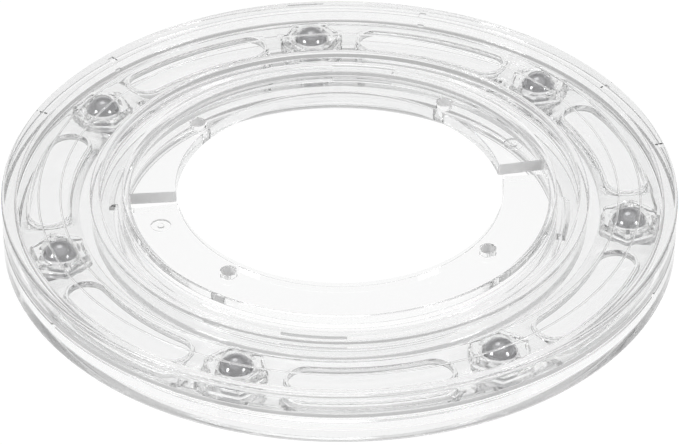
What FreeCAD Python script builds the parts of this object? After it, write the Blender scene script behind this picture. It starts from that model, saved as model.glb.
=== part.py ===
"""Ball-bearing lazy susan turntable, 200 mm across: two clear rings, a ball cage and seven balls.

Millimetres, +Z up. The origin is the centre of the base ring's underside, Z is the spin axis,
and the X axis runs through the two gaps in the turntable ring's inner flange.
"""

import FreeCAD, Part
import math
import os
import re

import Sketcher
from FreeCAD import Placement, Rotation, Vector

doc = FreeCAD.newDocument("LazySusan")
UP = Vector(0, 0, 1)

# ---------------------------------------------------------------- driving dimensions

SIZES = {
    # both rings
    "outer_radius": 100.0,
    "rim_wall": 4.0,
    "rim_rounding": 0.9,
    "plate_thick": 3.63,
    "seam_gap": 0.4,
    "edge_rounding": 0.4,
    "cut_margin": 1.0,
    # balls and races
    "ball_count": 7,
    "ball_radius": 5.0,
    "race_radius": 86.0,
    "race_fit": 0.02,
    "first_ball_angle": 36.07,
    # hairline grooves in the turntable's underside, inside and outside the ball track
    "track_line_inner": 82.6,
    "track_line_outer": 89.05,
    "track_line_width": 0.6,
    "track_line_depth": 0.63,
    # base ring: thinner floor outside the ball track, inner wall and snap hooks
    "floor_edge_inner": 92.6,
    "floor_edge_thick": 2.6,
    "floor_edge_slope": 0.4,
    "wall_inner": 63.8,
    "wall_outer": 65.8,
    "wall_top": 9.9,
    "wall_foot_rounding": 1.2,
    "hook_root": 0.5,
    "hook_reach": 2.6,
    "hook_bottom": 7.6,
    "hook_lead": 1.2,
    "hook_angle": 16.0,
    "hook_count": 4,
    "base_turn": -14.6,
    # turntable ring: channel, skirt with its snap lip, and the flange
    "channel_inner": 64.4,
    "channel_outer": 71.0,
    "channel_floor": 12.8,
    "channel_skin": 2.5,
    "skirt_outer": 73.6,
    "skirt_bottom": 5.0,
    "lip_inner": 66.9,
    "lip_top": 7.0,
    "flange_inner": 48.5,
    "flange_draft": 0.2,
    "flange_outer": 62.4,
    "flange_thick": 3.8,
    "flange_gap_count": 2,
    "flange_gap_angle": 7.0,
    "flange_corner": 1.2,
    "screw_hole_count": 4,
    "screw_angle": 45.0,
    "screw_circle_radius": 53.5,
    "screw_hole_radius": 2.25,
    "gate_count": 2,
    "gate_circle_radius": 56.2,
    "gate_angle": 13.4,
    "gate_radius": 3.0,
    "gate_depth": 0.5,
    "gate_nub_radius": 1.0,
    # small notches in the outside of the rings' meeting edges
    "notch_count": 6,
    "notch_width": 2.0,
    "notch_reach": 1.3,
    "notch_depth": 0.5,
    "turntable_notch_angle": 6.4,
    "base_notch_angle": 41.2,
    # ball cage
    "cage_inner": 77.2,
    "cage_outer": 95.0,
    "cage_plate": 1.6,
    "boss_half_length": 9.8,
    "boss_half_width": 7.9,
    "boss_height": 5.2,
    "boss_chamfer": 0.7,
    "pocket_radius": 5.15,
    "pocket_flare": 0.9,
    "coring_offset": 7.75,
    "coring_radius": 1.1,
    "coring_depth": 1.6,
    "window_inner": 80.6,
    "window_outer": 91.7,
    "window_half_angle": 12.0,
    "window_lip": 1.0,
    "window_lip_height": 2.2,
}

DERIVED = {
    "ring_height": "2 * plate_thick + 2 * ball_radius + 2 * race_fit",
    "middle": "ring_height / 2",
    "seam_low": "middle - seam_gap / 2",
    "seam_high": "middle + seam_gap / 2",
    "rim_inner": "outer_radius - rim_wall",
    "plate_under": "ring_height - plate_thick",
    "channel_under": "channel_floor - channel_skin",
    "flange_under": "ring_height - flange_thick",
    "flange_gap_half": "flange_gap_angle / 2",
    "hook_outer": "wall_outer + hook_reach",
    "pitch_angle": "360 / ball_count",
    "cage_turn": "first_ball_angle + 3 * pitch_angle - 180",
    "window_middle": "(window_inner + window_outer) / 2",
    "cage_plate_under": "middle - cage_plate / 2",
    "boss_under": "middle - boss_height / 2",
    "window_lip_under": "middle - window_lip_height / 2",
    "boss_top": "middle + boss_height / 2",
    "pocket_mouth_radius": "pocket_radius + pocket_flare",
}
NAMES = set(SIZES) | set(DERIVED)


def make_sheet():
    sheet = doc.addObject("Spreadsheet::Sheet", "Sizes")
    row = 1
    for name, value in SIZES.items():
        sheet.set(f"A{row}", name)
        sheet.set(f"B{row}", str(value))
        sheet.setAlias(f"B{row}", name)
        row += 1
    for name, formula in DERIVED.items():
        sheet.set(f"A{row}", name)
        sheet.set(f"B{row}", "=" + formula)
        sheet.setAlias(f"B{row}", name)
        row += 1
    doc.recompute()
    return sheet


sheet = make_sheet()


def size(name):
    """The sheet's value of one dimension."""
    return float(sheet.get(name))


# ---------------------------------------------------------------- sketches and features


def new_body(name, label):
    body = doc.addObject("PartDesign::Body", name)
    body.Label = label
    return body


def plane_of(body, role):
    return next(item for item in body.Origin.OriginFeatures if item.Role == role)


def new_sketch(body, name, role):
    sketch = body.newObject("Sketcher::SketchObject", name)
    sketch.AttachmentSupport = [(plane_of(body, role), "")]
    sketch.MapMode = "FlatFace"
    return sketch


def raise_sketch(sketch, height):
    sketch.setExpression(".AttachmentOffset.Base.z", f"Sizes.{height}")


def tie(sketch, constraint, formula):
    """Adds a constraint whose value is a formula of the sheet's names."""
    index = sketch.addConstraint(constraint)
    sketch.setExpression(f"Constraints[{index}]", formula)
    return index


def value_of(formula):
    """The number that a formula in names of the sheet has now."""
    numbers = re.sub(r"[a-z_]+", lambda word: repr(size(word[0])), formula)
    return float(FreeCAD.Units.Quantity(numbers))


def with_sheet(formula):
    """The same formula with each name written as a cell of the sheet."""
    return re.sub(r"[a-z_]+", lambda word: f"Sizes.{word[0]}" if word[0] in NAMES else word[0], formula)


def outline(sketch, corners):
    """A closed chain of straight lines, each corner's two coordinates tied to formulas."""
    spots = [Vector(value_of(across), value_of(up), 0) for across, up in corners]
    lines = []
    for index, start in enumerate(spots):
        end = spots[(index + 1) % len(spots)]
        lines.append(sketch.addGeometry(Part.LineSegment(start, end), False))
    for index, line in enumerate(lines):
        following = lines[(index + 1) % len(lines)]
        sketch.addConstraint(Sketcher.Constraint("Coincident", line, 2, following, 1))
    for line, spot, (across, up) in zip(lines, spots, corners):
        far = Sketcher.Constraint("DistanceX", -1, 1, line, 1, spot.x)
        tie(sketch, far, with_sheet(across))
        if abs(spot.y) < 1e-9:
            sketch.addConstraint(Sketcher.Constraint("PointOnObject", line, 1, -1))
            continue
        high = Sketcher.Constraint("DistanceY", -1, 1, line, 1, spot.y)
        tie(sketch, high, with_sheet(up))


def circle(sketch, across, up, radius):
    """A circle whose centre and radius are tied to formulas."""
    centre = Vector(value_of(across), value_of(up), 0)
    reach = value_of(radius)
    ring = sketch.addGeometry(Part.Circle(centre, UP, reach), False)
    tie(sketch, Sketcher.Constraint("Radius", ring, reach), with_sheet(radius))
    far = Sketcher.Constraint("DistanceX", -1, 1, ring, 3, centre.x)
    tie(sketch, far, with_sheet(across))
    if abs(centre.y) < 1e-9:
        sketch.addConstraint(Sketcher.Constraint("PointOnObject", ring, 3, -1))
    else:
        high = Sketcher.Constraint("DistanceY", -1, 1, ring, 3, centre.y)
        tie(sketch, high, with_sheet(up))
    return ring


def turned(body, kind, name, sketch, angle="360"):
    """A Revolution or a Groove of a sketch about the Z axis."""
    feature = body.newObject(f"PartDesign::{kind}", name)
    feature.Profile = sketch
    feature.ReferenceAxis = (sketch, ["V_Axis"])
    if angle == "360":
        feature.Angle = 360
    else:
        feature.Midplane = True
        feature.setExpression("Angle", with_sheet(angle))
    sketch.Visibility = False
    return feature


def pad(body, name, sketch, length):
    feature = body.newObject("PartDesign::Pad", name)
    feature.Profile = sketch
    feature.setExpression("Length", with_sheet(length))
    return feature


def pocket(body, name, sketch, length, upwards=False):
    """A Pocket that cuts down from its sketch, or up from it."""
    feature = body.newObject("PartDesign::Pocket", name)
    feature.Profile = sketch
    feature.setExpression("Length", with_sheet(length))
    feature.Reversed = upwards
    return feature


def polar(body, name, feature, count):
    """Repeats a feature evenly round the Z axis."""
    pattern = body.newObject("PartDesign::PolarPattern", name)
    pattern.Originals = [feature]
    pattern.Axis = (plane_of(body, "Z_Axis"), [""])
    pattern.Angle = 360
    pattern.setExpression("Occurrences", f"Sizes.{count}")
    body.Tip = pattern
    return pattern


def ring_edges(shape, places):
    """Names of the circular edges about Z that lie at these (radius, height) pairs."""
    names = []
    for index, edge in enumerate(shape.Edges, 1):
        curve = edge.Curve
        if not isinstance(curve, Part.Circle) or abs(abs(curve.Axis.z) - 1) > 1e-6:
            continue
        if math.hypot(curve.Center.x, curve.Center.y) > 1e-3:
            continue
        for radius, height in places:
            if abs(curve.Radius - radius) < 1e-3 and abs(curve.Center.z - height) < 1e-3:
                names.append(f"Edge{index}")
    return names


def upright_edges(shape, radius, low, high, lean):
    """Names of the straight edges that run from low to high at a radius, with at most this lean."""
    names = []
    for index, edge in enumerate(shape.Edges, 1):
        if not isinstance(edge.Curve, Part.Line) or len(edge.Vertexes) != 2:
            continue
        bottom, top = sorted((vertex.Point for vertex in edge.Vertexes), key=lambda spot: spot.z)
        upright = math.hypot(top.x - bottom.x, top.y - bottom.y) < lean + 1e-3
        at_radius = abs(math.hypot(top.x, top.y) - radius) < 1e-2
        if upright and at_radius and abs(bottom.z - low) < 1e-2 and abs(top.z - high) < 1e-2:
            names.append(f"Edge{index}")
    return names


def straight_edges(shape, heights):
    """Names of the straight level edges at these heights."""
    names = []
    for index, edge in enumerate(shape.Edges, 1):
        if not isinstance(edge.Curve, Part.Line):
            continue
        first, last = (vertex.Point.z for vertex in edge.Vertexes)
        if any(abs(first - height) < 1e-4 and abs(last - height) < 1e-4 for height in heights):
            names.append(f"Edge{index}")
    return names


def fillet(body, name, base, edges, radius):
    feature = body.newObject("PartDesign::Fillet", name)
    feature.Base = (base, edges)
    feature.setExpression("Radius", f"Sizes.{radius}")
    return feature


def check_cut(name, before, after):
    """Stops if a feature that should remove material didn't."""
    if not after.Shape.Volume < before.Shape.Volume - 1e-3:
        raise RuntimeError(f"{name} removed no material")


# ---------------------------------------------------------------- notches of both rings


def edge_notch(body, name, angle, height):
    """A small notch in the outside of the rim wall's meeting edge, repeated round the ring."""
    sketch = new_sketch(body, f"{name}Outline", "XY_Plane")
    raise_sketch(sketch, height)
    sketch.setExpression(".AttachmentOffset.Rotation.Angle", f"Sizes.{angle}")
    outline(
        sketch,
        [
            ("outer_radius - notch_reach", "0 - notch_width / 2"),
            ("outer_radius + notch_reach", "0 - notch_width / 2"),
            ("outer_radius + notch_reach", "notch_width / 2"),
            ("outer_radius - notch_reach", "notch_width / 2"),
        ],
    )
    cut = body.newObject("PartDesign::Pocket", name)
    cut.Profile = sketch
    cut.Midplane = True
    cut.setExpression("Length", "2 * Sizes.notch_depth")
    doc.recompute()
    return polar(body, f"{name}Ring", cut, "notch_count")


# ---------------------------------------------------------------- base ring


def make_base_ring():
    body = new_body("BaseRing", "base_ring")
    section = new_sketch(body, "BaseSection", "XZ_Plane")
    outline(
        section,
        [
            ("wall_inner", "0"),
            ("outer_radius", "0"),
            ("outer_radius", "seam_low"),
            ("rim_inner", "seam_low"),
            ("rim_inner", "floor_edge_thick"),
            ("floor_edge_inner", "floor_edge_thick"),
            ("floor_edge_inner - floor_edge_slope", "plate_thick"),
            ("wall_outer", "plate_thick"),
            ("wall_outer", "wall_top"),
            ("wall_inner", "wall_top"),
        ],
    )
    ring = turned(body, "Revolution", "BaseTurned", section)
    doc.recompute()

    outer = size("outer_radius")
    rims = ring_edges(ring.Shape, [(outer, 0)])
    rounded_rim = fillet(body, "BaseRimRounding", ring, rims, "rim_rounding")
    doc.recompute()
    feet = ring_edges(rounded_rim.Shape, [(size("wall_inner"), 0)])
    rounded_foot = fillet(body, "WallFootRounding", rounded_rim, feet, "wall_foot_rounding")
    doc.recompute()
    small = [
        (outer, size("seam_low")),
        (size("rim_inner"), size("seam_low")),
        (size("rim_inner"), size("floor_edge_thick")),
        (size("wall_outer"), size("plate_thick")),
        (size("wall_inner"), size("wall_top")),
    ]
    edges = ring_edges(rounded_foot.Shape, small)
    rounded = fillet(body, "BaseEdgeRounding", rounded_foot, edges, "edge_rounding")
    doc.recompute()

    hook_section = new_sketch(body, "HookSection", "XZ_Plane")
    outline(
        hook_section,
        [
            ("wall_outer - hook_root", "hook_bottom"),
            ("hook_outer", "hook_bottom"),
            ("hook_outer", "wall_top - hook_lead"),
            ("hook_outer - hook_lead", "wall_top"),
            ("wall_outer - hook_root", "wall_top"),
        ],
    )
    hook = turned(body, "Revolution", "Hook", hook_section, "hook_angle")
    doc.recompute()
    hooks = polar(body, "Hooks", hook, "hook_count")
    doc.recompute()

    notched = edge_notch(body, "BaseNotch", "base_notch_angle", "seam_low")
    doc.recompute()
    check_cut("BaseNotch", hooks, notched)
    body.setExpression(".Placement.Rotation.Angle", "Sizes.base_turn")
    return body


# ---------------------------------------------------------------- turntable ring


def sector(sketch, inner, outer, half_angle):
    """A closed ring sector centred on the sketch's X axis."""
    turn = math.radians(value_of(half_angle))
    near, far = value_of(inner), value_of(outer)
    ends = [Vector(math.cos(turn), -math.sin(turn), 0), Vector(math.cos(turn), math.sin(turn), 0)]
    out_arc = sketch.addGeometry(Part.ArcOfCircle(Part.Circle(Vector(), UP, far), -turn, turn), False)
    in_arc = sketch.addGeometry(Part.ArcOfCircle(Part.Circle(Vector(), UP, near), -turn, turn), False)
    low = sketch.addGeometry(Part.LineSegment(ends[0] * near, ends[0] * far), False)
    high = sketch.addGeometry(Part.LineSegment(ends[1] * near, ends[1] * far), False)
    for arc in (out_arc, in_arc):
        sketch.addConstraint(Sketcher.Constraint("Coincident", arc, 3, -1, 1))
    sketch.addConstraint(Sketcher.Constraint("Coincident", in_arc, 1, low, 1))
    sketch.addConstraint(Sketcher.Constraint("Coincident", out_arc, 1, low, 2))
    sketch.addConstraint(Sketcher.Constraint("Coincident", in_arc, 2, high, 1))
    sketch.addConstraint(Sketcher.Constraint("Coincident", out_arc, 2, high, 2))
    tie(sketch, Sketcher.Constraint("Radius", out_arc, far), with_sheet(outer))
    tie(sketch, Sketcher.Constraint("Radius", in_arc, near), with_sheet(inner))
    tie(sketch, Sketcher.Constraint("Angle", low, 1, -1, 1, turn), with_sheet(f"1 deg * ({half_angle})"))
    tie(sketch, Sketcher.Constraint("Angle", -1, 1, high, 1, turn), with_sheet(f"1 deg * ({half_angle})"))


def make_turntable_ring():
    body = new_body("TurntableRing", "turntable_ring")
    section = new_sketch(body, "TurntableSection", "XZ_Plane")
    outline(
        section,
        [
            ("flange_inner", "ring_height"),
            ("flange_inner - flange_draft", "flange_under"),
            ("flange_outer", "flange_under"),
            ("flange_outer", "channel_under"),
            ("channel_outer", "channel_under"),
            ("channel_outer", "lip_top"),
            ("lip_inner", "lip_top"),
            ("lip_inner", "skirt_bottom"),
            ("skirt_outer", "skirt_bottom"),
            ("skirt_outer", "plate_under"),
            ("rim_inner", "plate_under"),
            ("rim_inner", "seam_high"),
            ("outer_radius", "seam_high"),
            ("outer_radius", "ring_height"),
            ("channel_outer", "ring_height"),
            ("channel_outer", "channel_floor"),
            ("channel_inner", "channel_floor"),
            ("channel_inner", "ring_height"),
        ],
    )
    ring = turned(body, "Revolution", "TurntableTurned", section)
    doc.recompute()

    lined = ring
    for side in ("inner", "outer"):
        line_section = new_sketch(body, f"TrackLineSection_{side}", "XZ_Plane")
        middle = f"track_line_{side}"
        outline(
            line_section,
            [
                (f"{middle} - track_line_width / 2", "plate_under - track_line_depth"),
                (f"{middle} + track_line_width / 2", "plate_under - track_line_depth"),
                (f"{middle} + track_line_width / 2", "plate_under + track_line_depth"),
                (f"{middle} - track_line_width / 2", "plate_under + track_line_depth"),
            ],
        )
        before = lined
        lined = turned(body, "Groove", f"TrackLine_{side}", line_section)
        doc.recompute()
        check_cut(f"TrackLine_{side}", before, lined)

    top, outer = size("ring_height"), size("outer_radius")
    rims = ring_edges(lined.Shape, [(outer, top)])
    rounded_rim = fillet(body, "TurntableRimRounding", lined, rims, "rim_rounding")
    doc.recompute()
    small = [
        (outer, size("seam_high")),
        (size("rim_inner"), size("seam_high")),
        (size("channel_inner"), top),
        (size("channel_outer"), top),
        (size("channel_inner"), size("channel_floor")),
        (size("channel_outer"), size("channel_floor")),
        (size("skirt_outer"), size("skirt_bottom")),
        (size("skirt_outer"), size("plate_under")),
        (size("rim_inner"), size("plate_under")),
    ]
    edges = ring_edges(rounded_rim.Shape, small)
    rounded = fillet(body, "TurntableEdgeRounding", rounded_rim, edges, "edge_rounding")
    doc.recompute()

    gap_outline = new_sketch(body, "FlangeGapOutline", "XY_Plane")
    raise_sketch(gap_outline, "ring_height")
    sector(gap_outline, "flange_inner - cut_margin", "flange_outer", "flange_gap_half")
    gap = pocket(body, "FlangeGap", gap_outline, "flange_thick + cut_margin")
    doc.recompute()
    gaps = polar(body, "FlangeGaps", gap, "flange_gap_count")
    doc.recompute()
    check_cut("FlangeGaps", rounded, gaps)
    under, lean = size("flange_under"), size("flange_draft")
    corners = upright_edges(gaps.Shape, size("flange_inner"), under, top, lean)
    shaped = fillet(body, "FlangeCorners", gaps, corners, "flange_corner")
    doc.recompute()

    hole_outline = new_sketch(body, "ScrewHoleOutline", "XY_Plane")
    raise_sketch(hole_outline, "ring_height")
    hole_outline.setExpression(".AttachmentOffset.Rotation.Angle", "Sizes.screw_angle")
    circle(hole_outline, "screw_circle_radius", "0", "screw_hole_radius")
    hole = pocket(body, "ScrewHole", hole_outline, "flange_thick + cut_margin")
    doc.recompute()
    holes = polar(body, "ScrewHoles", hole, "screw_hole_count")
    doc.recompute()
    check_cut("ScrewHoles", shaped, holes)

    gate_outline = new_sketch(body, "GateOutline", "XY_Plane")
    raise_sketch(gate_outline, "ring_height")
    gate_outline.setExpression(".AttachmentOffset.Rotation.Angle", "Sizes.gate_angle")
    circle(gate_outline, "gate_circle_radius", "0", "gate_radius")
    circle(gate_outline, "gate_circle_radius", "0", "gate_nub_radius")
    gate = pocket(body, "Gate", gate_outline, "gate_depth")
    doc.recompute()
    gates = polar(body, "Gates", gate, "gate_count")
    doc.recompute()
    check_cut("Gates", holes, gates)

    notched = edge_notch(body, "TurntableNotch", "turntable_notch_angle", "seam_high")
    doc.recompute()
    check_cut("TurntableNotch", gates, notched)
    return body


# ---------------------------------------------------------------- ball cage


def curved_slot(sketch, grow="0"):
    """A slot curved about the Z axis, centred on the sketch's X axis, with round ends."""
    half = math.radians(value_of("window_half_angle"))
    inner, outer = f"window_inner - {grow}", f"window_outer + {grow}"
    near, far, middle = value_of(inner), value_of(outer), value_of("window_middle")
    cap = (far - near) / 2
    arcs = []
    for reach in (far, near):
        arc = Part.ArcOfCircle(Part.Circle(Vector(), UP, reach), -half, half)
        arcs.append(sketch.addGeometry(arc, False))
    for turn, start in ((half, half), (-half, math.pi - half)):
        centre = Vector(middle * math.cos(turn), middle * math.sin(turn), 0)
        end = Part.ArcOfCircle(Part.Circle(centre, UP, cap), start, start + math.pi)
        arcs.append(sketch.addGeometry(end, False))
    out_arc, in_arc, high_cap, low_cap = arcs
    for arc in (out_arc, in_arc):
        sketch.addConstraint(Sketcher.Constraint("Coincident", arc, 3, -1, 1))
    sketch.addConstraint(Sketcher.Constraint("Tangent", out_arc, 2, high_cap, 1))
    sketch.addConstraint(Sketcher.Constraint("Tangent", in_arc, 2, high_cap, 2))
    sketch.addConstraint(Sketcher.Constraint("Tangent", in_arc, 1, low_cap, 1))
    sketch.addConstraint(Sketcher.Constraint("Tangent", out_arc, 1, low_cap, 2))
    tie(sketch, Sketcher.Constraint("Radius", out_arc, far), with_sheet(outer))
    tie(sketch, Sketcher.Constraint("Radius", in_arc, near), with_sheet(inner))
    spoke_formula = with_sheet("1 deg * window_half_angle")
    for cap_arc, sign in ((high_cap, 1), (low_cap, -1)):
        tip = Vector(middle * math.cos(half), sign * middle * math.sin(half), 0)
        spoke = sketch.addGeometry(Part.LineSegment(Vector(), tip), True)
        sketch.addConstraint(Sketcher.Constraint("Coincident", spoke, 1, -1, 1))
        sketch.addConstraint(Sketcher.Constraint("Coincident", spoke, 2, cap_arc, 3))
        if sign > 0:
            tie(sketch, Sketcher.Constraint("Angle", -1, 1, spoke, 1, half), spoke_formula)
        else:
            tie(sketch, Sketcher.Constraint("Angle", spoke, 1, -1, 1, half), spoke_formula)


def flared_pocket(body, name, mouth_height, upwards):
    """A 45 degree flare from the ball pocket's mouth on -X down, or up, to its straight wall."""
    mouth = new_sketch(body, f"{name}Outline", "XY_Plane")
    raise_sketch(mouth, mouth_height)
    circle(mouth, "0 - race_radius", "0", "pocket_mouth_radius")
    flare = pocket(body, name, mouth, "pocket_flare", upwards)
    flare.TaperAngle = -45
    doc.recompute()
    return flare


def make_ball_cage():
    """The cage's own frame has a window on +X and, as the count is odd, a ball pocket on -X."""
    body = new_body("BallCage", "ball_cage")
    plate_outline = new_sketch(body, "CagePlateOutline", "XY_Plane")
    raise_sketch(plate_outline, "cage_plate_under")
    circle(plate_outline, "0", "0", "cage_outer")
    circle(plate_outline, "0", "0", "cage_inner")
    pad(body, "CagePlate", plate_outline, "cage_plate")
    doc.recompute()

    lip_outline = new_sketch(body, "WindowLipOutline", "XY_Plane")
    raise_sketch(lip_outline, "window_lip_under")
    curved_slot(lip_outline, "window_lip")
    lip = pad(body, "WindowLip", lip_outline, "window_lip_height")
    doc.recompute()
    polar(body, "WindowLips", lip, "ball_count")
    doc.recompute()

    boss_outline = new_sketch(body, "BossOutline", "XY_Plane")
    raise_sketch(boss_outline, "boss_under")
    near, far = "0 - race_radius + boss_half_width", "0 - race_radius - boss_half_width"
    outline(
        boss_outline,
        [
            ("0 - race_radius", "boss_half_length"),
            (far, "boss_half_length / 2"),
            (far, "0 - boss_half_length / 2"),
            ("0 - race_radius", "0 - boss_half_length"),
            (near, "0 - boss_half_length / 2"),
            (near, "boss_half_length / 2"),
        ],
    )
    boss = pad(body, "Boss", boss_outline, "boss_height")
    doc.recompute()
    bosses = polar(body, "Bosses", boss, "ball_count")
    doc.recompute()
    chamfered = body.newObject("PartDesign::Chamfer", "BossChamfers")
    edges = straight_edges(bosses.Shape, [size("boss_top"), size("boss_under")])
    chamfered.Base = (bosses, edges)
    chamfered.setExpression("Size", "Sizes.boss_chamfer")
    doc.recompute()
    check_cut("BossChamfers", bosses, chamfered)

    window_outline = new_sketch(body, "WindowOutline", "XY_Plane")
    raise_sketch(window_outline, "boss_top")
    curved_slot(window_outline)
    window = pocket(body, "Window", window_outline, "boss_height")
    doc.recompute()
    windows = polar(body, "Windows", window, "ball_count")
    doc.recompute()
    check_cut("Windows", chamfered, windows)

    pocket_outline = new_sketch(body, "PocketOutline", "XY_Plane")
    raise_sketch(pocket_outline, "boss_top")
    circle(pocket_outline, "0 - race_radius", "0", "pocket_radius")
    ball_pocket = pocket(body, "BallPocket", pocket_outline, "boss_height")
    doc.recompute()
    pockets = polar(body, "BallPockets", ball_pocket, "ball_count")
    doc.recompute()
    check_cut("BallPockets", windows, pockets)
    top_flare = flared_pocket(body, "TopFlare", "boss_top", upwards=False)
    top_flares = polar(body, "TopFlares", top_flare, "ball_count")
    doc.recompute()
    check_cut("TopFlares", pockets, top_flares)
    low_flare = flared_pocket(body, "LowFlare", "boss_under", upwards=True)
    low_flares = polar(body, "LowFlares", low_flare, "ball_count")
    doc.recompute()
    check_cut("LowFlares", top_flares, low_flares)

    coring_outline = new_sketch(body, "CoringOutline", "XY_Plane")
    raise_sketch(coring_outline, "boss_top")
    circle(coring_outline, "0 - race_radius", "coring_offset", "coring_radius")
    circle(coring_outline, "0 - race_radius", "0 - coring_offset", "coring_radius")
    coring = pocket(body, "Coring", coring_outline, "coring_depth")
    doc.recompute()
    corings = polar(body, "Corings", coring, "ball_count")
    doc.recompute()
    check_cut("Corings", low_flares, corings)
    body.setExpression(".Placement.Rotation.Angle", "Sizes.cage_turn")
    return body


# ---------------------------------------------------------------- balls


def make_balls():
    balls = []
    for number in range(int(size("ball_count"))):
        ball = doc.addObject("Part::Sphere", f"Ball{number + 1}")
        ball.Label = f"ball_{number + 1}"
        ball.setExpression("Radius", "Sizes.ball_radius")
        angle = f"(Sizes.first_ball_angle + {number} * Sizes.pitch_angle) * 1 deg"
        ball.setExpression(".Placement.Base.x", f"Sizes.race_radius * cos({angle})")
        ball.setExpression(".Placement.Base.y", f"Sizes.race_radius * sin({angle})")
        ball.setExpression(".Placement.Base.z", "Sizes.middle")
        balls.append(ball)
    return balls


# ---------------------------------------------------------------- checks and export


def check_document(parts):
    doc.recompute()
    for item in doc.Objects:
        if "Invalid" in item.State or "Error" in item.State:
            raise RuntimeError(f"{item.Name} failed: {item.State}")
    for item in parts:
        shape = item.Shape
        if shape.isNull() or not shape.isValid() or len(shape.Solids) != 1:
            raise RuntimeError(f"{item.Label} has no single valid solid")


def main():
    parts = [make_base_ring(), make_turntable_ring(), make_ball_cage(), *make_balls()]
    check_document(parts)
    os.makedirs("parts", exist_ok=True)
    for item in parts:
        item.Shape.exportStep(f"parts/{item.Label}.step")
        box = item.Shape.optimalBoundingBox()
        print(f"{item.Label}: {box.XLength:.2f} x {box.YLength:.2f} x {box.ZLength:.2f} mm")


main()
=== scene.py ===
import bpy
import bmesh
import math
from mathutils import Matrix, Vector


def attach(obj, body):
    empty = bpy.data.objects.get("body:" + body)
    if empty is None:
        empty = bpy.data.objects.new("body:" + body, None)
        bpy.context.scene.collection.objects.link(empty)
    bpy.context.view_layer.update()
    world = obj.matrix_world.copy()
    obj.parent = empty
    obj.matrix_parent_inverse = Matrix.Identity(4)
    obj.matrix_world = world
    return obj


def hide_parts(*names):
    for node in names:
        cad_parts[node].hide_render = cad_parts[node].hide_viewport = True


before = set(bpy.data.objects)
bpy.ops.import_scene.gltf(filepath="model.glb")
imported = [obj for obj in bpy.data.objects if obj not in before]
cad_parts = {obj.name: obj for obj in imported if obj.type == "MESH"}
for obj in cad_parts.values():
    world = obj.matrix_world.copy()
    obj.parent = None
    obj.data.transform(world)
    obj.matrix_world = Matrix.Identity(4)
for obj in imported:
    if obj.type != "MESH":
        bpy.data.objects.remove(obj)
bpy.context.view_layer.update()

# Shapes below are in millimetres and degrees, and become metres when a mesh is made.
MM = 0.001
SEGMENTS = 600
SHARP = math.radians(32.0)
CAMERA_AZIMUTH = -8.6

OUTER = 100.0
RIM_INNER = 96.0
TOP = 17.3
PLATE_UNDER = 13.67
SEAM_LOW, SEAM_HIGH = 8.45, 8.85
BALLS = 7
BALL_PITCH = 360 / BALLS
FIRST_BALL = 36.07
RACE_RADIUS = 86.0


# ---------------------------------------------------------------- camera

def make_camera():
    """Looks down at the ring from 36 degrees, with a long lens."""
    azimuth, elevation = math.radians(CAMERA_AZIMUTH), math.radians(35.857)
    roll = math.radians(-0.2746)
    aim = Vector((0, 0, 10.6 * MM))
    distance = 1.1996
    sensor, lens = 36.0, 214.1443
    tip_down = 0.005026
    back = Vector((
        math.sin(azimuth) * math.cos(elevation),
        -math.cos(azimuth) * math.cos(elevation),
        math.sin(elevation),
    ))
    right = Vector((math.cos(azimuth), math.sin(azimuth), 0))
    up = back.cross(right)
    rolled_up = right * math.sin(roll) + up * math.cos(roll)
    forward = (-back - rolled_up * tip_down).normalized()
    camera_up = (rolled_up - forward * rolled_up.dot(forward)).normalized()
    camera_right = forward.cross(camera_up)
    data = bpy.data.cameras.new("camera")
    data.sensor_width = sensor
    data.lens = lens
    data.clip_start, data.clip_end = 0.05, 20.0
    camera = bpy.data.objects.new("camera", data)
    bpy.context.scene.collection.objects.link(camera)
    turn = Matrix((camera_right, camera_up, -forward)).transposed()
    camera.matrix_world = Matrix.Translation(aim + back * distance) @ turn.to_4x4()
    bpy.context.scene.camera = camera


# ---------------------------------------------------------------- outlines

def polar(radius, degrees):
    """The flat point at a radius and an angle about the spin axis."""
    turn = math.radians(degrees)
    return radius * math.cos(turn), radius * math.sin(turn)


def turned(outline, degrees):
    """A flat outline turned about the spin axis."""
    spin = Matrix.Rotation(math.radians(degrees), 2)
    return [spin @ Vector(point) for point in outline]


def round_corners(corners, steps=4, support=0.06):
    """A closed outline of (x, y, rounding) with an arc at each rounded corner.

    A support point beside each end of an arc keeps the shading of the straight side flat.
    """
    points = []
    most_of_side = 0.45
    room = 2.2 * support
    for index, (x, y, rounding) in enumerate(corners):
        here = Vector((x, y))
        before = Vector(corners[index - 1][:2]) - here
        after = Vector(corners[(index + 1) % len(corners)][:2]) - here
        if rounding <= 0:
            points.append(here)
            continue
        a, b = before.normalized(), after.normalized()
        half = a.angle(b) / 2
        reach = min(rounding / math.tan(half), most_of_side * before.length, most_of_side * after.length)
        radius = reach * math.tan(half)
        centre = here + (a + b).normalized() * (radius / math.sin(half))
        start, end = here + a * reach - centre, here + b * reach - centre
        turn = start.angle_signed(end)
        if before.length > reach + room:
            points.append(here + a * (reach + support))
        for step in range(steps + 1):
            spin = Matrix.Rotation(-turn * step / steps, 2)
            points.append(centre + spin @ start)
        if after.length > reach + room:
            points.append(here + b * (reach + support))
    return points


def curved_slot(inner, outer, half_angle, sides=20, ends=12):
    """A slot bent about the spin axis, with round ends, centred on the X axis."""
    middle, cap = (inner + outer) / 2, (outer - inner) / 2
    arc = [half_angle * (2 * step / sides - 1) for step in range(1, sides)]
    outline = [Vector(polar(outer, angle)) for angle in arc]
    for side, first in ((1, 0.0), (-1, 180.0)):
        turn = side * half_angle
        centre = Vector(polar(middle, turn))
        for step in range(ends + 1):
            outline.append(centre + Vector(polar(cap, turn + first + 180 * step / ends)))
        if side > 0:
            outline += [Vector(polar(inner, angle)) for angle in reversed(arc)]
    return outline


# ---------------------------------------------------------------- meshes

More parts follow.
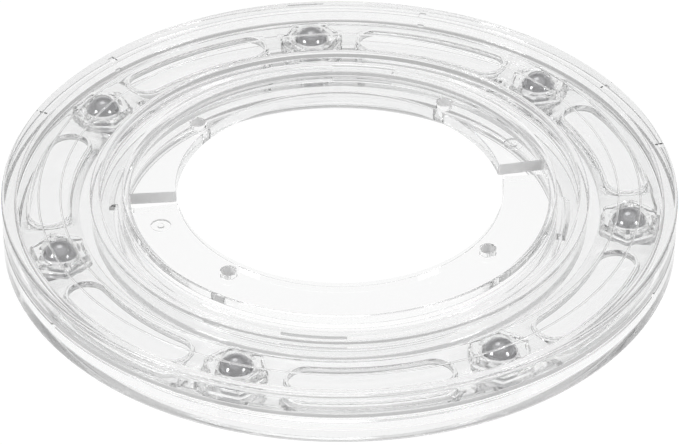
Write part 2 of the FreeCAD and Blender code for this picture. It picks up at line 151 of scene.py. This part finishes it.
def shade(bm):
    """Smooth shading, except across an edge where two faces meet sharply."""
    for face in bm.faces:
        face.smooth = True
    for edge in bm.edges:
        edge.smooth = len(edge.link_faces) == 2 and edge.calc_face_angle() < SHARP


def link(name, bm):
    """A new object of a bmesh, which it frees."""
    bmesh.ops.remove_doubles(bm, verts=bm.verts, dist=1e-7)
    bmesh.ops.recalc_face_normals(bm, faces=bm.faces)
    shade(bm)
    mesh = bpy.data.meshes.new(name)
    bm.to_mesh(mesh)
    bm.free()
    obj = bpy.data.objects.new(name, mesh)
    bpy.context.scene.collection.objects.link(obj)
    return obj


def join_rows(bm, near, far):
    """Faces between two closed rows of as many points."""
    for index in range(len(near)):
        other = (index + 1) % len(near)
        bm.faces.new((near[index], far[index], far[other], near[other]))


def add_lathe(bm, outline, segments, start=0.0, sweep=360.0, centre=(0, 0)):
    """Turns a closed outline of (radius, height) about an upright axis; an open sweep gets end faces."""
    whole = sweep >= 360
    steps = segments if whole else segments + 1
    rows = []
    for step in range(steps):
        angle = math.radians(start + sweep * step / segments)
        row = []
        for radius, height in outline:
            spot = (centre[0] + radius * math.cos(angle), centre[1] + radius * math.sin(angle), height)
            row.append(bm.verts.new(Vector(spot) * MM))
        rows.append(row)
    for step in range(segments):
        join_rows(bm, rows[step], rows[(step + 1) % steps])
    if not whole:
        bm.faces.new(rows[0])
        bm.faces.new(list(reversed(rows[-1])))


def add_stack(bm, layers):
    """One upright solid through closed flat (outline, height) layers of as many points each."""
    rows = [[bm.verts.new(Vector((x, y, height)) * MM) for x, y in outline] for outline, height in layers]
    for low, high in zip(rows, rows[1:]):
        join_rows(bm, high, low)
    bm.faces.new(list(reversed(rows[0])))
    bm.faces.new(rows[-1])


def apply_modifiers(obj):
    view = bpy.context.evaluated_depsgraph_get()
    mesh = bpy.data.meshes.new_from_object(obj.evaluated_get(view))
    obj.modifiers.clear()
    old, obj.data = obj.data, mesh
    bpy.data.meshes.remove(old)


def combine(obj, bm, operation):
    """Applies a Boolean of obj with the solids in a bmesh."""
    tool = link("tool", bm)
    modifier = obj.modifiers.new("combine", "BOOLEAN")
    modifier.operation = operation
    modifier.solver = "EXACT"
    modifier.object = tool
    apply_modifiers(obj)
    bpy.data.objects.remove(tool)


def bevel(obj, width, segments=2, limit=40.0):
    """Rounds every edge sharper than the limit."""
    modifier = obj.modifiers.new("bevel", "BEVEL")
    modifier.width = width * MM
    modifier.segments = segments
    modifier.limit_method = "ANGLE"
    modifier.angle_limit = math.radians(limit)
    modifier.use_clamp_overlap = True
    apply_modifiers(obj)


def clean(obj):
    """Removes what a Boolean left without length or area, and shades the mesh again."""
    bm = bmesh.new()
    bm.from_mesh(obj.data)
    bmesh.ops.dissolve_degenerate(bm, dist=1e-7, edges=bm.edges)
    shade(bm)
    bm.to_mesh(obj.data)
    bm.free()


def stands_for(obj, node, body, material, wall=None, is_wall=None):
    """Puts a piece in a CAD node's place on its body, with a second finish on the faces a test picks."""
    obj.data.materials.clear()
    obj.data.materials.append(material)
    if wall:
        obj.data.materials.append(wall)
        for face in obj.data.polygons:
            radius = face.center.xy.length / MM
            face.material_index = int(is_wall(radius, face.normal))
    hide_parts(node)
    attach(obj, body)


# ---------------------------------------------------------------- the two rings

def add_notches(bm, first, low, high):
    """Cutters for the small notches in the outside of a ring's meeting edge."""
    count, depth_to, past, half_width = 6, 98.7, 101, 1.0
    notch = [(depth_to, -half_width), (past, -half_width), (past, half_width), (depth_to, half_width)]
    for index in range(count):
        outline = turned(notch, first + 360 / count * index)
        add_stack(bm, [(outline, low), (outline, high)])


def make_base(material):
    """Lower ring: flat ball floor, outer rim, inner wall with four snap hooks."""
    wall_inner, wall_outer, wall_top = 63.8, 65.8, 9.9
    floor_top, edge_top = 3.63, 2.6
    section = round_corners([
        (wall_inner, 0, 1.2), (OUTER, 0, 0.9), (OUTER, SEAM_LOW, 0.4), (RIM_INNER, SEAM_LOW, 0.4),
        (RIM_INNER, edge_top, 0.4), (92.6, edge_top, 0.4), (92.2, floor_top, 0.3),
        (wall_outer, floor_top, 0.4), (wall_outer, wall_top, 0.3), (wall_inner, wall_top, 0.5),
    ])
    bm = bmesh.new()
    add_lathe(bm, section, SEGMENTS)
    obj = link("base_shell", bm)

    hooks, middle_of_first, width = 4, -14.6, 16
    root, tip, hook_under, hook_top = 65.3, 68.4, 7.6, 9.88
    hook = round_corners([
        (root, hook_under, 0), (tip, hook_under, 0.25), (tip, 8.7, 0.3),
        (67.2, hook_top, 0.3), (root, hook_top, 0),
    ])
    bm = bmesh.new()
    for index in range(hooks):
        add_lathe(bm, hook, 24, middle_of_first + 360 / hooks * index - width / 2, width)
    combine(obj, bm, "UNION")

    bm = bmesh.new()
    add_notches(bm, 26.6, 7.95, 9.5)
    combine(obj, bm, "DIFFERENCE")
    clean(obj)
    stands_for(obj, "base_ring", "base", material)


def track_line(radius):
    """Corners of a hairline groove in the plate's underside, from its outer side to its inner side."""
    half_width, top, rounding = 0.3, 14.3, 0.28
    return [
        (radius + half_width, PLATE_UNDER, 0), (radius + half_width, top, rounding),
        (radius - half_width, top, rounding), (radius - half_width, PLATE_UNDER, 0),
    ]


def flange_gap(flange_outer):
    """Outline of the cutter of one gap in the flange, on +X, with rounded corners at the inner edge."""
    half_angle, inner_edge = 3.5, 48.25
    lead = [(*polar(inner_edge, angle), 0) for angle in (-9, -7.5, -6)]
    lead.append((*polar(inner_edge, -half_angle), 1.2))
    end_x, end_y = polar(flange_outer, half_angle)
    corners = lead + [(end_x, -end_y, 0.8), (end_x, end_y, 0.8)]
    corners += [(x, -y, rounding) for x, y, rounding in reversed(lead)]
    corners += [(44, 6, 0), (44, -6, 0)]
    return round_corners(corners, steps=6)


def make_turntable(material, satin):
    """Upper ring: flat plate, outer rim, round channel, inner skirt with a lip, split screw flange."""
    flange_inner, flange_outer, flange_under, draft = 48.5, 62.4, 13.5, 0.2
    channel_inner, channel_outer, channel_floor, channel_under = 64.4, 71.0, 12.8, 10.3
    lip_inner, lip_top, skirt_outer, skirt_bottom = 66.9, 7.0, 73.6, 5.0
    section = round_corners([
        (flange_inner, TOP, 0.2), (flange_inner - draft, flange_under, 0.2),
        (flange_outer, flange_under, 0.3), (flange_outer, channel_under, 0.4),
        (channel_outer, channel_under, 0.3), (channel_outer, lip_top, 0.3),
        (lip_inner, lip_top, 0.3), (lip_inner, skirt_bottom, 0.4),
        (skirt_outer, skirt_bottom, 0.4), (skirt_outer, PLATE_UNDER, 0.4),
        *reversed(track_line(82.6)), *reversed(track_line(89.05)),
        (RIM_INNER, PLATE_UNDER, 0.5), (RIM_INNER, SEAM_HIGH, 0.4),
        (OUTER, SEAM_HIGH, 0.4), (OUTER, TOP, 0.9),
        (channel_outer, TOP, 0.5), (channel_outer, channel_floor, 0.4),
        (channel_inner, channel_floor, 0.4), (channel_inner, TOP, 0.5),
    ])
    bm = bmesh.new()
    add_lathe(bm, section, SEGMENTS)
    obj = link("turntable_shell", bm)

    bm = bmesh.new()
    gap = flange_gap(flange_outer)
    for angle in (0, 180):
        outline = turned(gap, angle)
        add_stack(bm, [(outline, 12.4), (outline, 18.4)])
    hole, edge, past = 2.25, 0.25, 1.0
    hole_section = [
        (0, TOP + past), (hole + edge + past, TOP + past), (hole + edge, TOP), (hole, TOP - edge),
        (hole, flange_under + edge), (hole + edge, flange_under), (hole + edge + past, flange_under - past),
        (0, flange_under - past),
    ]
    for angle in (45, 135, 225, 315):
        add_lathe(bm, hole_section, 32, centre=polar(53.5, angle))
    nub, gate, gate_floor, above = 1.0, 3.0, 16.8, 18.0
    gate_section = round_corners([
        (nub, above, 0), (nub, gate_floor, 0.1), (gate, gate_floor, 0.2), (gate, above, 0),
    ])
    for angle in (13.4, 193.4):
        add_lathe(bm, gate_section, 32, centre=polar(56.2, angle))
    add_notches(bm, 6.4, 8.0, 9.35)
    combine(obj, bm, "DIFFERENCE")
    clean(obj)

    def is_satin(radius, normal):
        """The flange's end faces and hole walls that face -Y."""
        return 48.6 < radius < 62.3 and abs(normal.z) < 0.6 and normal.y < 0

    stands_for(obj, "turntable_ring", "turntable", material, satin, is_satin)


# ---------------------------------------------------------------- cage

def boss_outlines():
    """A boss's hexagon on +X, and the same a little smaller for its chamfered faces."""
    half_length, half_width, edge_scale = 9.8, 7.9, 0.91
    side = half_length / 2
    corners = [
        (0, half_length), (half_width, side), (half_width, -side),
        (0, -half_length), (-half_width, -side), (-half_width, side),
    ]
    wide = round_corners([(RACE_RADIUS + x, y, 1.0) for x, y in corners], support=0)
    centre = Vector((RACE_RADIUS, 0))
    return wide, [centre + (point - centre) * edge_scale for point in wide]


def make_cage(material, soft):
    """Ball cage: a thin ring with seven hexagonal ball bosses and seven lipped windows."""
    inner, outer, under, top = 77.2, 95, 7.85, 9.45
    bm = bmesh.new()
    add_lathe(bm, [(inner, under), (outer, under), (outer, top), (inner, top)], SEGMENTS)
    obj = link("cage_shell", bm)

    wide, narrow = boss_outlines()
    window_inner, window_outer, half_angle = 80.6, 91.7, 12.0
    foot = curved_slot(window_inner - 1.0, window_outer + 1.0, half_angle)
    crest = curved_slot(window_inner - 0.7, window_outer + 0.7, half_angle)
    bm = bmesh.new()
    for ball in range(BALLS):
        angle = FIRST_BALL + BALL_PITCH * ball
        boss = [(narrow, 6.05), (wide, 6.75), (wide, 10.55), (narrow, 11.25)]
        add_stack(bm, [(turned(outline, angle), height) for outline, height in boss])
        lip = [(crest, 7.55), (foot, 7.75), (foot, 9.55), (crest, 9.75)]
        add_stack(bm, [(turned(outline, angle + BALL_PITCH / 2), height) for outline, height in lip])
    combine(obj, bm, "UNION")

    pocket, flared = 5.15, 7.15
    socket = [(0, 4.95), (flared, 4.95), (pocket, 6.95), (pocket, 10.35), (flared, 12.35), (0, 12.35)]
    pit_radius, pit_floor, pit_offset = 1.1, 9.65, 7.75
    pit = [(0, pit_floor), (pit_radius, pit_floor), (pit_radius, 12), (0, 12)]
    window = curved_slot(window_inner, window_outer, half_angle)
    bm = bmesh.new()
    for ball in range(BALLS):
        angle = FIRST_BALL + BALL_PITCH * ball
        middle = Vector(polar(RACE_RADIUS, angle))
        across = Vector(polar(1, angle + 90))
        add_lathe(bm, socket, 64, centre=middle)
        for side in (-pit_offset, pit_offset):
            add_lathe(bm, pit, 32, centre=middle + across * side)
        outline = turned(window, angle + BALL_PITCH / 2)
        add_stack(bm, [(outline, 5), (outline, 12)])
    combine(obj, bm, "DIFFERENCE")
    bevel(obj, 0.22)
    clean(obj)

    def is_upright(radius, normal):
        return abs(normal.z) < 0.6

    stands_for(obj, "ball_cage", "cage", material, soft, is_upright)


# ---------------------------------------------------------------- materials

def new_material(name):
    material = bpy.data.materials.new(name)
    material.use_nodes = True
    tree = material.node_tree
    shader = next(n for n in tree.nodes if n.type == "BSDF_PRINCIPLED")
    return material, tree, shader


def wander(tree, scale, low, high, socket):
    """Lets a shader's value wander between two levels over the surface."""
    place = tree.nodes.new("ShaderNodeTexCoord")
    noise = tree.nodes.new("ShaderNodeTexNoise")
    noise.inputs["Scale"].default_value = scale
    noise.inputs["Detail"].default_value = 3.0
    spread = tree.nodes.new("ShaderNodeMapRange")
    spread.inputs["From Min"].default_value = 0.3
    spread.inputs["From Max"].default_value = 0.7
    spread.inputs["To Min"].default_value = low
    spread.inputs["To Max"].default_value = high
    tree.links.new(place.outputs["Object"], noise.inputs["Vector"])
    tree.links.new(noise.outputs["Fac"], spread.inputs["Value"])
    tree.links.new(spread.outputs["Result"], socket)


def clear_plastic(name, smooth, rough, clearness=1.0):
    """Clear moulded plastic with a wandering roughness, which dims long paths a little."""
    material, tree, shader = new_material(name)
    shader.inputs["Transmission Weight"].default_value = clearness
    shader.inputs["IOR"].default_value = 1.5
    shader.inputs["Base Color"].default_value = (0.997, 0.998, 0.998, 1)
    wander(tree, 60.0, smooth, rough, shader.inputs["Roughness"])
    depth = tree.nodes.new("ShaderNodeVolumeAbsorption")
    depth.inputs["Color"].default_value = (0.0, 0.0, 0.0, 1)
    depth.inputs["Density"].default_value = 2.5
    output = next(n for n in tree.nodes if n.type == "OUTPUT_MATERIAL")
    tree.links.new(depth.outputs["Volume"], output.inputs["Volume"])
    return material


def steel():
    material, tree, shader = new_material("steel_ball")
    shader.inputs["Metallic"].default_value = 1.0
    shader.inputs["Base Color"].default_value = (0.47, 0.47, 0.48, 1)
    wander(tree, 900.0, 0.14, 0.2, shader.inputs["Roughness"])
    return material


# ---------------------------------------------------------------- studio

def make_world():
    """A pale room, brightest level with the ring and overhead, and grey between."""
    world = bpy.data.worlds.new("studio")
    bpy.context.scene.world = world
    world.use_nodes = True
    tree = world.node_tree
    place = tree.nodes.new("ShaderNodeTexCoord")
    split = tree.nodes.new("ShaderNodeSeparateXYZ")
    ramp = tree.nodes.new("ShaderNodeValToRGB")
    tree.links.new(place.outputs["Generated"], split.inputs["Vector"])
    tree.links.new(split.outputs["Z"], ramp.inputs["Fac"])
    tree.links.new(ramp.outputs["Color"], tree.nodes["Background"].inputs["Color"])
    height_levels = [
        (0.0, 0.85), (0.04, 0.8), (0.08, 0.68), (0.2, 0.6),
        (0.35, 0.5), (0.65, 0.5), (0.85, 0.85), (1.0, 0.9),
    ]
    while len(ramp.color_ramp.elements) < len(height_levels):
        ramp.color_ramp.elements.new(0.5)
    for element, (height, level) in zip(ramp.color_ramp.elements, height_levels):
        element.position = height
        element.color = (level, level, level, 1)


def make_floor():
    """A white sheet just under the ring, which gives its own light."""
    mesh = bpy.data.meshes.new("floor")
    half = 3.0
    corners = [(-half, -half, 0), (half, -half, 0), (half, half, 0), (-half, half, 0)]
    mesh.from_pydata(corners, [], [(0, 1, 2, 3)])
    floor = bpy.data.objects.new("floor", mesh)
    floor.location.z = -0.2 * MM
    bpy.context.scene.collection.objects.link(floor)
    material, tree, shader = new_material("floor")
    shader.inputs["Base Color"].default_value = (0.04, 0.04, 0.04, 1)
    shader.inputs["Roughness"].default_value = 0.8
    shader.inputs["Specular IOR Level"].default_value = 0.0
    shader.inputs["Emission Color"].default_value = (1, 1, 1, 1)
    shader.inputs["Emission Strength"].default_value = 1.0
    mesh.materials.append(material)


def softbox(name, direction, distance, size, radiance):
    """A rectangular light aimed at the ring, from a direction given as if the camera stood at -Y."""
    light = bpy.data.lights.new(name, "AREA")
    light.shape = "RECTANGLE"
    light.size, light.size_y = size
    light.energy = radiance * math.pi * size[0] * size[1]
    lamp = bpy.data.objects.new(name, light)
    to_camera_side = Matrix.Rotation(math.radians(CAMERA_AZIMUTH), 3, "Z")
    spot = to_camera_side @ Vector(direction).normalized() * distance
    lamp.location = spot
    lamp.rotation_mode = "QUATERNION"
    lamp.rotation_quaternion = (-spot).to_track_quat("-Z", "Y")
    bpy.context.scene.collection.objects.link(lamp)


def make_studio():
    make_world()
    make_floor()
    side_size, side_radiance = (0.3, 0.3), 7.0
    softbox("side_left", (-0.804, -0.461, 0.452), 1.25, side_size, side_radiance)
    softbox("side_right", (0.804, -0.461, 0.452), 1.25, side_size, side_radiance)
    softbox("overhead", (-0.1, 0.35, 0.93), 1.3, (0.5, 0.5), 1.1)


def finish_balls(metal):
    for number in range(1, BALLS + 1):
        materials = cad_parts[f"ball_{number}"].data.materials
        materials.clear()
        materials.append(metal)


make_camera()
make_studio()
plastic = clear_plastic("clear_plastic", 0.0, 0.02)
make_base(plastic)
make_turntable(plastic, clear_plastic("satin_plastic", 0.25, 0.4, 0.3))
make_cage(plastic, clear_plastic("soft_plastic", 0.08, 0.16, 0.9))
finish_balls(steel())

# Light crosses many clear walls before it leaves the part, so its paths have to be long.
bpy.context.scene.view_settings.view_transform = "Standard"
bpy.context.scene.cycles.max_bounces = 128
bpy.context.scene.cycles.transmission_bounces = 128
bpy.context.scene.cycles.glossy_bounces = 32
